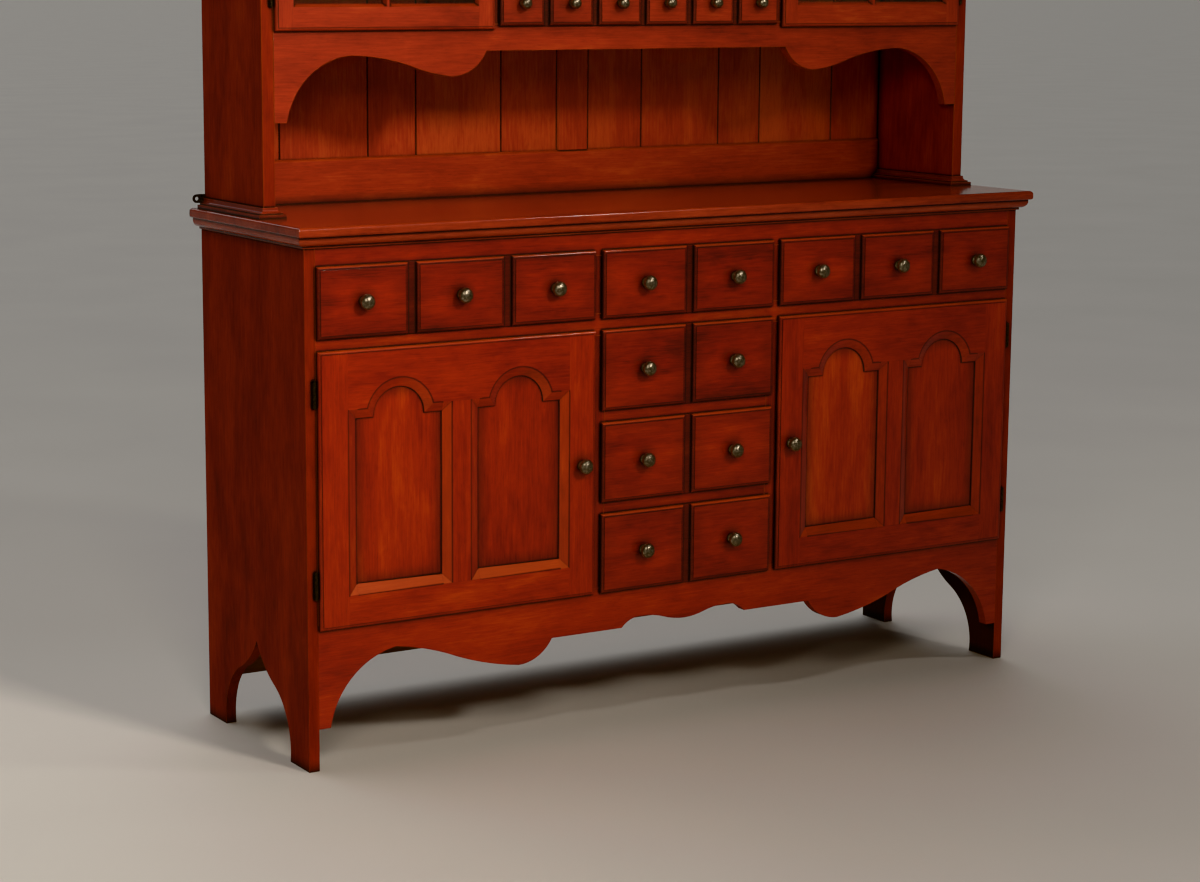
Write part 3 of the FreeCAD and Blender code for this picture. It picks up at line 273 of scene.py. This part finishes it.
def boards(node, name, finish, body, ease=0.0008, edge_wear_and_shade=0.5, marks=None, stain=0.0, border_dark=0.0,
           level=None, outline=0.0):
    """Copies a CAD node board by board, eases its edges and gives every board its own run of grain.
    marks says how far a face is painted lighter (above 0), as a painted highlight, or darker (below 0), as
    painted shade, edge_wear_and_shade how far the eased edges are worn lighter (above 0) or painted with
    shade (below 0), stain how much lighter or darker the boards are, border_dark how dark their borders are,
    level a height at which faces are divided so that marks can differ above and below it, and outline the
    width of a line of painted shade along both edges of a marked bevel."""
    outline_shade, no_width, least_darkened_half = -0.7, 0.000002, 0.02
    chance = random.Random(node)
    points, faces, grains, tones, wear_and_light_per_face, offsets, halves = [], [], [], [], [], [], []
    for triangles in loose_boards(node):
        shape, low, high = joined(triangles)
        # The grain follows the longest side, and starts anywhere in 60 m of figure.
        sides = sorted(range(3), key=lambda i: low[i] - high[i])
        middle = (low + high) / 2
        start = (chance.uniform(0, 60), chance.uniform(-0.05, 0.05), chance.uniform(-0.02, 0.02))
        tone = chance.uniform(-0.6, 0.6) + stain
        if level is not None:
            bmesh.ops.bisect_plane(shape, geom=shape.verts[:] + shape.edges[:] + shape.faces[:],
                                   plane_co=(0.0, 0.0, level), plane_no=(0.0, 0.0, 1.0))
        wear_and_light_layer = shape.faces.layers.float.new("wear_and_light_layer")
        for face in shape.faces:
            if marks:
                face[wear_and_light_layer] = marks(face.calc_center_median(), face.normal)
        outlined = set()
        if outline:
            outlined = set(chamfer(shape, bevel_rims(shape, wear_and_light_layer), outline, 1))
            for face in outlined:
                face[wear_and_light_layer] = outline_shade
        if ease:
            sharp = [e for e in shape.edges if e.is_manifold and e.calc_face_angle() > math.radians(28)
                     and not any(f in outlined for f in e.link_faces)]
            for face in chamfer(shape, sharp, ease, 2):
                face[wear_and_light_layer] = edge_wear_and_shade
        if outline:
            # Two rounds of chamfers leave some faces without width.
            bmesh.ops.dissolve_degenerate(shape, dist=no_width, edges=shape.edges[:])
        corners, patches = shape.verts[:], shape.faces[:]
        if outline:
            # They also leave corners and faces in a chance order.
            corners.sort(key=lambda vert: vert.co[:])
            patches.sort(key=lambda face: face.calc_center_median()[:])
        for number, vert in enumerate(corners, len(points)):
            vert.index = number
            points.append(vert.co[:])
            grains.extend((vert.co[i] - middle[i] + shift) for i, shift in zip(sides, start))
            tones.append(tone)
        for face in patches:
            faces.append([vert.index for vert in face.verts])
            wear_and_light_per_face.append(face[wear_and_light_layer])
            reach = [[vert.co[i] for vert in face.verts] for i in sides[:2]]
            half = [(max(along) - min(along)) / 2 for along in reach]
            strength = border_dark if min(half) > least_darkened_half else 0.0
            for vert in face.verts:
                offsets.extend(vert.co[i] - min(along) - size for i, along, size in zip(sides, reach, half))
                offsets.append(0.0)
                halves.extend((*half, strength))
        shape.free()
    mesh = bpy.data.meshes.new(name)
    mesh.from_pydata(points, [], faces)
    for label, kind, place, values in (("grain", "FLOAT_VECTOR", "POINT", grains),
                                       ("off_middle", "FLOAT_VECTOR", "CORNER", offsets),
                                       ("half_size", "FLOAT_VECTOR", "CORNER", halves),
                                       ("tone", "FLOAT", "POINT", tones), ("wear_and_light", "FLOAT", "FACE", wear_and_light_per_face)):
        kept = mesh.attributes.new(label, kind, place)
        kept.data.foreach_set("vector" if kind == "FLOAT_VECTOR" else "value", values)
    mesh.polygons.foreach_set("use_smooth", [True] * len(faces))
    mesh.set_sharp_from_angle(angle=math.radians(20))
    mesh.materials.append(finish)
    piece = put(name, mesh)
    even = piece.modifiers.new("even", "WEIGHTED_NORMAL")
    even.keep_sharp = True
    even.weight = 100
    make_plain(piece)
    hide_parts(node)
    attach(piece, body)


under_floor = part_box("base_inner_boards")[0].z


def foot_marks(node, inward):
    """Painted shade: nearly black on the inner faces of the feet, and darker on the edges of the cut-out."""
    low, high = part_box(node)

    def amount(at, normal):
        if at.z > under_floor or min(at.y - low.y, high.y - at.y, at.z - low.z) < 0.001:
            return 0.0
        if normal.x * inward > 0.9:
            return -0.9
        return -0.35 if abs(normal.x) < 0.2 else 0.0
    return amount


for node, name, inward in (("base_side_left", "left_side_board", 1),
                           ("base_side_right", "right_side_board", -1)):
    boards(node, name, dull_cherry, "cabinet", 0.0012, marks=foot_marks(node, inward),
           level=under_floor)


# Apron and face frame of the base
# A scrolled apron, sawn from one long board, with rails and stiles glued into a frame over it.
# All of it is flush, so only thin joint lines show between the pieces.
# The stiles' darker stain is painted shade, for the shade that falls between the drawer lips.
for node, stain in (("apron", 0.8), ("base_rails", 0.2), ("base_stiles", -0.8)):
    boards(node, node + "_boards", cherry, "cabinet", 0.0007, stain=stain)


# Inside of the base
# Partitions, floor, dust boards, shelves and the back panel: plain secondary wood, lightly
# stained and left nearly matt, nailed and glued where nobody looks.

# Brown-stained poplar: gives the eye a dull, even brown with no shine.
secondary = stained_wood("poplar_brown_stain", ("#4A2A1E", "#623C2C", "#764C38", "#8C6048"),
                         "#805434", "#170C06", 0.6, 0.0)
for node in ("base_partitions", "base_inner_boards", "base_back"):
    boards(node, node + "_plain", secondary, "cabinet", 0.0006, 0.2, stain=-0.6)


# Counter
# A thick glued-up top with a rounded edge, lacquered and rubbed glossier than the rest, on a
# bed moulding that is mitred at the corners and nailed under it.

# Rubbed cherry: gives the eye a browner red that mirrors the light softly.
counter_finish = stained_wood("stained_cherry_rubbed_gloss", ("#561A10", "#86301E", "#9E402A", "#B65A38"),
                              "#C07038", "#160402", 0.2, 0.5)
boards("counter_top", "counter_slab", counter_finish, "cabinet", 0.0005)
boards("counter_moulding", "bed_moulding", counter_finish, "cabinet", 0.0004)


# Drawers
# Seven drawers, each one long lipped front carved to look like two, three or six small ones,
# glued to a dovetailed box of pale wood. The quarter-round edges are painted with shade, and with a painted
# highlight where they face up.
def knob_outline(radius, length):
    """Outline of a turned knob, from the middle of its foot to the top of its dome."""
    points = [(0.0, 0.0), (0.58, 0.0), (0.60, 0.02), (0.60, 0.07), (0.50, 0.12), (0.43, 0.17),
              (0.40, 0.22), (0.41, 0.26), (0.48, 0.30), (0.62, 0.35), (0.79, 0.40), (0.91, 0.46),
              (0.98, 0.53)]
    dome_steps, dome_foot = 12, 0.60
    for step in range(dome_steps + 1):
        turn = math.radians(90 * step / dome_steps)
        points.append((math.cos(turn), dome_foot + (1 - dome_foot) * math.sin(turn)))
    return [(out * radius, up * length) for out, up in points]


def turned(outline, sides):
    """A solid of revolution about -Y, standing on the plane y = 0."""
    shape = bmesh.new()
    turns = [2 * math.pi * k / sides for k in range(sides)]
    rings = []
    for out, up in outline:
        if out < 1e-6:
            rings.append([shape.verts.new((0, -up, 0))])
        else:
            rings.append([shape.verts.new((out * math.cos(a), -up, out * math.sin(a))) for a in turns])
    for low, high in zip(rings, rings[1:]):
        for k in range(sides):
            n = (k + 1) % sides
            if len(low) == 1:
                shape.faces.new((low[0], high[k], high[n]))
            elif len(high) == 1:
                shape.faces.new((low[k], high[0], low[n]))
            else:
                shape.faces.new((low[k], high[k], high[n], low[n]))
    bmesh.ops.recalc_face_normals(shape, faces=shape.faces[:])
    mesh = bpy.data.meshes.new("turned")
    shape.to_mesh(mesh)
    shape.free()
    mesh.polygons.foreach_set("use_smooth", [True] * len(mesh.polygons))
    return mesh


# Antiqued cast brass: dark brown in the hollows, worn to a dull grey gold on the dome, which
# gives one soft bright spot on each knob.
knob_metal, tree, shader = new_material("antiqued_cast_brass")
place = add(tree, "ShaderNodeTexCoord").outputs["Object"]
# Mottled patina in patches of about 4 mm.
patina = add(tree, "ShaderNodeTexNoise",
             {"Vector": place, "Scale": 260.0, "Detail": 4.0, "Roughness": 0.6})
bare = add(tree, "ShaderNodeNewGeometry").outputs["Pointiness"]
raised = add(tree, "ShaderNodeMapRange", {0: bare, 1: 0.46, 2: 0.56, 3: -0.25, 4: 0.3})
shown = add(tree, "ShaderNodeMath", {0: patina.outputs["Fac"], 1: raised.outputs[0]}, operation="ADD",
            use_clamp=True)
ramp = add(tree, "ShaderNodeValToRGB", {0: shown.outputs[0]})
spots = ramp.color_ramp.elements
spots[0].position, spots[0].color = 0.2, linear("#2A2723")
spots[1].position, spots[1].color = 0.8, linear("#B0A898")
spots.new(0.5).color = linear("#6A6358")
tree.links.new(ramp.outputs[0], shader.inputs["Base Color"])
dull = add(tree, "ShaderNodeMapRange", {0: patina.outputs["Fac"], 1: 0.3, 2: 0.7, 3: 0.44, 4: 0.3})
tree.links.new(dull.outputs[0], shader.inputs["Roughness"])
pits = add(tree, "ShaderNodeBump", {"Strength": 0.12, "Distance": 0.0004, "Height": patina.outputs["Fac"]})
tree.links.new(pits.outputs[0], shader.inputs["Normal"])
shader.inputs["Metallic"].default_value = 1.0


def row_tree(name, kinds):
    """A new tree that takes a small shape and the named inputs, and gives back a shape."""
    tree = bpy.data.node_groups.new(name, "GeometryNodeTree")
    inputs = {}
    for label, kind in kinds.items():
        inputs[label] = tree.interface.new_socket(name=label, in_out="INPUT",
                                                  socket_type="NodeSocket" + kind)
    tree.interface.new_socket(name="Geometry", in_out="OUTPUT", socket_type="NodeSocketGeometry")
    return tree, inputs


def end_row(tree, copies, metal):
    """Ends a tree: its copies become one solid shape of one metal."""
    solid = add(tree, "GeometryNodeRealizeInstances", {0: copies.outputs[0]})
    dressed = add(tree, "GeometryNodeSetMaterial", {"Geometry": solid.outputs[0], "Material": metal})
    add(tree, "NodeGroupOutput", {0: dressed.outputs[0]})


# Tree that sets copies of one turned knob in a row.
knob_row, knob_inputs = row_tree("knob_row", {"Geometry": "Geometry", "Count": "Int", "First": "Vector",
                                              "Pitch": "Vector", "Metal": "Material"})
given = add(knob_row, "NodeGroupInput").outputs
spaced = add(knob_row, "GeometryNodeMeshLine",
             {"Count": given["Count"], "Start Location": given["First"], "Offset": given["Pitch"]})
copies = add(knob_row, "GeometryNodeInstanceOnPoints",
             {"Points": spaced.outputs[0], "Instance": given["Geometry"]})
end_row(knob_row, copies, given["Metal"])


def row_of(name, shape, tree, inputs, values):
    """Runs a tree that repeats a small shape, and returns the row as one plain mesh."""
    piece = put(name, shape)
    spread = piece.modifiers.new("row", "NODES")
    spread.node_group = tree
    for label, value in values.items():
        spread[inputs[label].identifier] = value
    make_plain(piece)
    return piece


def knobs(node, body, count):
    """Knobs in place of a CAD node's, in a row along x from its lowest corner to its highest."""
    low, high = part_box(node)
    radius, length = (high.z - low.z) / 2, high.y - low.y
    start = Vector((low.x + radius, high.y, (low.z + high.z) / 2))
    pitch = Vector(((high.x - radius - start.x) / max(1, count - 1), 0, 0))
    piece = row_of(node + "_turned", turned(knob_outline(radius, length), sides=40), knob_row, knob_inputs,
                   {"Count": count, "First": start, "Pitch": pitch, "Metal": knob_metal})
    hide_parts(node)
    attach(piece, body)


flat_margin = 0.0002


def front_marks(node):
    """Painted shade on the moulded edges of a lipped front, a painted highlight where they face up, and
    nothing on its flat fields.
    """
    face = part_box(node)[0].y

    def amount(at, normal):
        if at.y < face + flat_margin:
            return 0.0
        return 0.5 if normal.z > 0.35 else -0.55
    return amount


# Clear maple: gives the eye a pale, warm tan beside the red fronts.
box_wood = stained_wood("maple_clear_lacquer", ("#94704A", "#B08C64", "#C2A27A", "#D4B994"),
                        "#D4B994", "#4A3420", 0.5, 0.1)
for body, count in (("drawer_top_left", 3), ("drawer_top_right", 3), ("drawer_top_centre", 2),
                    ("drawer_upper", 2), ("drawer_middle", 2), ("drawer_lower", 2)):
    boards(body + "_front", body + "_face", cherry, body, 0.00025, -0.1,
           front_marks(body + "_front"), stain=-0.5, border_dark=0.22)
    boards(body + "_box", body + "_tray", box_wood, body, 0.0005)
    knobs(body + "_knobs", body, count)
# Browner cherry: gives the eye the same figure a shade browner all over the upper piece; the browner hue is
# a painted haze of reflected light.
hutch_cherry = stained_wood("stained_cherry_browner_painted_haze", ("#48120B", "#822513", "#9C321B", "#B64C29"),
                            "#BA5E28", "#120402", 0.5, 0.5)
boards("spice_drawer_front", "spice_drawer_face", hutch_cherry, "spice_drawer", 0.00025, -0.1,
       front_marks("spice_drawer_front"), stain=-1.0)
boards("spice_drawer_box", "spice_drawer_tray", box_wood, "spice_drawer", 0.0005)
knobs("spice_drawer_knobs", "spice_drawer", 6)


# Doors of the base
# Lipped doors: stiles, rails and a muntin round two arched panels, with a wide bevel worked on
# the frame's inner edge. They hang on butt hinges and have one knob each.
def door_marks(node, rub_and_highlight):
    """Painted shade on the quarter round along a door's outer edge with a painted highlight where it faces
    up, and bevels inside painted lighter where they face up or left and darker where they face right.
    """
    low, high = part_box(node)
    lip_width = 0.0062

    def amount(at, normal):
        edge = min(at.x - low.x, high.x - at.x, at.z - low.z, high.z - at.z)
        if edge < lip_width:
            if at.y < low.y + flat_margin:
                return 0.0
            return 0.5 if normal.z > 0.35 else -0.2
        if sloping(normal):
            return (rub_and_highlight * (max(0.0, normal.z) + 0.4 * max(0.0, -normal.x))
                    - 0.5 * max(0.0, normal.x) + 0.1 * max(0.0, -normal.z))
        return 0.0
    return amount


# The frames get painted shade on the lips, painted highlights on top edges and on bevels facing up or left,
# darker bevels facing right, and an outline of painted shade along each bevel.
for body, rub_and_highlight, stain in (("door_left", 1.9, 0.4), ("door_right", 0.7, 1.4)):
    boards(body + "_frame", body + "_stiles_and_rails", cherry, body, 0.0008, -0.5,
           door_marks(body + "_frame", rub_and_highlight), outline=0.0016)
    boards(body + "_panels", body + "_fields", cherry, body, 0.0, stain=stain, border_dark=0.6)
    knobs(body + "_knob", body, 1)


# Hutch case
# Two sides stand on the counter behind a small moulding, with a scrolled valance, face frame,
# partitions and grooved plate shelves between them.
for node in ("hutch_side_left", "hutch_side_right"):
    boards(node, node + "_board", dull_cherry, "cabinet", 0.0012)
boards("waist_moulding", "waist_moulding_runs", hutch_cherry, "cabinet", 0.0003)
for node in ("valance", "hutch_face_frame", "hutch_partitions", "hutch_shelves"):
    boards(node, node + "_boards", hutch_cherry, "cabinet", 0.0007)


# Back of the hutch
# Random-width planks with V-joints, let into a frame of two rails and a muntin, and nailed on
# from behind.
# The chamfers of the frame get a faint painted highlight.
boards("hutch_back_frame", "hutch_back_frame_boards", hutch_cherry, "cabinet", 0.0003, 0.4,
       lambda at, normal: 0.15 if sloping(normal) else 0.0, stain=0.5)
boards("hutch_back_planks", "hutch_back_planks_boards", hutch_cherry, "cabinet", 0.0003, 0.2,
       stain=1.7)


# Top and crown
# A plain top board, hidden from below by a crown moulding run in one profile and mitred at the
# two front corners.
boards("hutch_top", "hutch_top_board", hutch_cherry, "cabinet", 0.0005)
boards("crown_moulding", "crown_runs", hutch_cherry, "cabinet", 0.0004)


# Glazed doors
# Lipped frames divided by slim bars into six panes, the top pair arched, over one sheet of
# glass that is held from behind.
# The glazed frames get the same painted shade and painted highlights, with only faint ones on the bevels of
# the bars.
for body in ("glazed_left", "glazed_right"):
    boards(body + "_frame", body + "_stiles_and_bars", hutch_cherry, body, 0.0003, -0.1,
           door_marks(body + "_frame", 0.15))
    knobs(body + "_knob", body, 1)

# Window glass: clear, with a faint green body and a very slight roll in the surface that bends
# the reflections.
glass, tree, shader = new_material("drawn_window_glass")
shader.inputs["Base Color"].default_value = linear("#EEF4EE")
shader.inputs["Transmission Weight"].default_value = 1.0
shader.inputs["IOR"].default_value = 1.5
place = add(tree, "ShaderNodeTexCoord").outputs["Object"]
# The roll is about 90 mm from crest to crest.
roll = add(tree, "ShaderNodeTexNoise", {"Vector": place, "Scale": 11.0, "Detail": 1.0})
wave = add(tree, "ShaderNodeBump", {"Strength": 0.05, "Distance": 0.002, "Height": roll.outputs["Fac"]})
tree.links.new(wave.outputs[0], shader.inputs["Normal"])
haze = add(tree, "ShaderNodeMapRange", {0: roll.outputs["Fac"], 1: 0.3, 2: 0.7, 3: 0.01, 4: 0.04})
tree.links.new(haze.outputs[0], shader.inputs["Roughness"])


def dress(nodes, finish):
    """Gives CAD nodes that stay as they are a finish."""
    for node in nodes:
        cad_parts[node].data.materials.clear()
        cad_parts[node].data.materials.append(finish)


dress(("glazed_left_glass", "glazed_right_glass"), glass)


# Hinges and tie eyes
# Small steel butt hinges with a loose pin, blackened, and steel tie eyes behind the hutch by
# which it can be held to a wall.

# Blackened steel: gives the eye a brown-black with dull, slightly brighter scuffs.
hinge_steel, tree, shader = new_material("blackened_steel")
shader.inputs["Metallic"].default_value = 1.0
place = add(tree, "ShaderNodeTexCoord").outputs["Object"]
# Scuffs in patches of about 3 mm.
scuff = add(tree, "ShaderNodeTexNoise", {"Vector": place, "Scale": 330.0, "Detail": 3.0})
ramp = add(tree, "ShaderNodeValToRGB", {0: scuff.outputs["Fac"]})
spots = ramp.color_ramp.elements
spots[0].position, spots[0].color = 0.35, linear("#1C1612")
spots[1].position, spots[1].color = 0.75, linear("#5A5048")
tree.links.new(ramp.outputs[0], shader.inputs["Base Color"])
dull = add(tree, "ShaderNodeMapRange", {0: scuff.outputs["Fac"], 1: 0.3, 2: 0.7, 3: 0.5, 4: 0.36})
tree.links.new(dull.outputs[0], shader.inputs["Roughness"])
dress(("hinge_frame_leaves", "tie_eyes", "door_left_hinge_leaves", "door_right_hinge_leaves",
       "glazed_left_hinge_leaves", "glazed_right_hinge_leaves"), hinge_steel)


# Nails of the backs
# Small steel nails with domed heads, driven along the border of each back into the case under it.
# A tree sets them on the outer points of a grid.
nail_border, nail_inputs = row_tree("nail_border", {"Geometry": "Geometry", "Width": "Float",
                                                    "Height": "Float", "Across": "Int", "Up": "Int",
                                                    "Middle": "Vector", "Metal": "Material"})
given = add(nail_border, "NodeGroupInput").outputs
grid = add(nail_border, "GeometryNodeMeshGrid",
           {"Size X": given["Width"], "Size Y": given["Height"], "Vertices X": given["Across"],
            "Vertices Y": given["Up"]})
# A point within the border has more than three neighbours.
beside = add(nail_border, "GeometryNodeInputMeshVertexNeighbors")
within = add(nail_border, "FunctionNodeCompare", {2: beside.outputs["Vertex Count"], 3: 3},
             data_type="INT", operation="GREATER_THAN")
edge = add(nail_border, "GeometryNodeDeleteGeometry",
           {"Geometry": grid.outputs["Mesh"], "Selection": within.outputs[0]}, domain="POINT")
upright = add(nail_border, "GeometryNodeTransform",
              {"Geometry": edge.outputs[0], "Translation": given["Middle"],
               "Rotation": (math.pi / 2, 0.0, 0.0)})
nails = add(nail_border, "GeometryNodeInstanceOnPoints",
            {"Points": upright.outputs[0], "Instance": given["Geometry"], "Rotation": (0.0, 0.0, math.pi)})
end_row(nail_border, nails, given["Metal"])
nail_head = [(0.0, -0.0004), (0.0028, -0.0004), (0.0029, 0.0001), (0.0024, 0.0005), (0.0014, 0.0008),
             (0.0, 0.0009)]
nail_inset = 0.007
for node, across, up in (("base_back", 13, 7), ("hutch_back_planks", 13, 9)):
    low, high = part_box(node)
    middle = Vector(((low.x + high.x) / 2, high.y, (low.z + high.z) / 2))
    piece = row_of(node + "_nails", turned(nail_head, sides=16), nail_border, nail_inputs,
                   {"Width": high.x - low.x - nail_inset * 2, "Height": high.z - low.z - nail_inset * 2,
                    "Across": across, "Up": up, "Middle": middle, "Metal": hinge_steel})
    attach(piece, "cabinet")


# Floor, light and camera
# A plain pale floor, a high soft light in front, a lower one at the front left, a small high one at
# the right for bright lines on upper edges, and a camera that looks down at the left front corner.
floor_paint, tree, shader = new_material("pale_floor_paint")
place = add(tree, "ShaderNodeTexCoord").outputs["Object"]
cloud = add(tree, "ShaderNodeTexNoise", {"Vector": place, "Scale": 1.5, "Detail": 2.0})
ramp = add(tree, "ShaderNodeValToRGB", {0: cloud.outputs["Fac"]})
ramp.color_ramp.elements[0].color = linear("#D4D0CA")
ramp.color_ramp.elements[1].color = linear("#DEDAD4")
tree.links.new(ramp.outputs[0], shader.inputs["Base Color"])
shader.inputs["Roughness"].default_value = 0.6
ground = bpy.data.meshes.new("floor")
reach = 250.0
ground.from_pydata([(-reach, -reach, 0), (reach, -reach, 0), (reach, reach, 0), (-reach, reach, 0)], [],
                   [(0, 1, 2, 3)])
ground.materials.append(floor_paint)
floor = put("floor", ground)

# Each light: where it hangs, what it points at, its side in metres, the angle of its beam, its power
# and its colour.
for name, spot, aim, side, beam, power, code in (
        ("key_light", (0.95, -4.9, 3.95), (-1.1, 0.0, 1.2), 0.8, 38, 10.2, "#FFF3E4"),
        ("left_light", (-1.6, -2.3, 2.1), (-0.4, 0.0, 0.9), 0.7, 180, 18.5, "#FFF0DE"),
        ("edge_light", (1.9, -2.0, 3.8), (-0.2, -0.2, 0.6), 0.25, 180, 15, "#FFF6EC")):
    lamp = bpy.data.lights.new(name, "AREA")
    lamp.shape = "SQUARE"
    lamp.size = side
    lamp.spread = math.radians(beam)
    lamp.energy = power
    lamp.color = linear(code)[:3]
    placed = put(name, lamp)
    placed.location = spot
    placed.rotation_euler = (Vector(aim) - Vector(spot)).to_track_quat("-Z", "Y").to_euler()

# Wide light from above and behind that keeps the floor evenly pale.
sky_light = bpy.data.lights.new("sky_light", "SUN")
sky_light.energy = 0.95
sky_light.angle = math.radians(70)
placed = put("sky_light", sky_light)
placed.rotation_euler = (math.radians(-32), 0.0, 0.0)

world = bpy.data.worlds.new("soft_room")
world.use_nodes = True
tree = world.node_tree
sky = tree.nodes["Background"]
sky.inputs["Color"].default_value = linear("#D8D4CC")
# The room is palest level with the floor and dims overhead.
height = add(tree, "ShaderNodeSeparateXYZ", {0: add(tree, "ShaderNodeTexCoord").outputs["Generated"]})
pale = add(tree, "ShaderNodeMapRange", {0: height.outputs["Z"], 1: 0.12, 2: 0.4, 3: 0.34, 4: 0.07})
tree.links.new(pale.outputs[0], sky.inputs["Strength"])
bpy.context.scene.world = world
bpy.context.scene.view_settings.view_transform = "Khronos PBR Neutral"
bpy.context.scene.view_settings.exposure = 0.25

lens = bpy.data.cameras.new("camera")
lens.lens = 77.0
lens.sensor_width = 36.0
lens.shift_x = 0.0886
lens.shift_y = -0.0266
camera = put("camera", lens)
camera.location = (-2.5482, -3.9159, 1.2960)
camera.rotation_euler = (math.radians(90 - 9.367), math.radians(-0.04), math.radians(-30.01))
bpy.context.scene.camera = camera
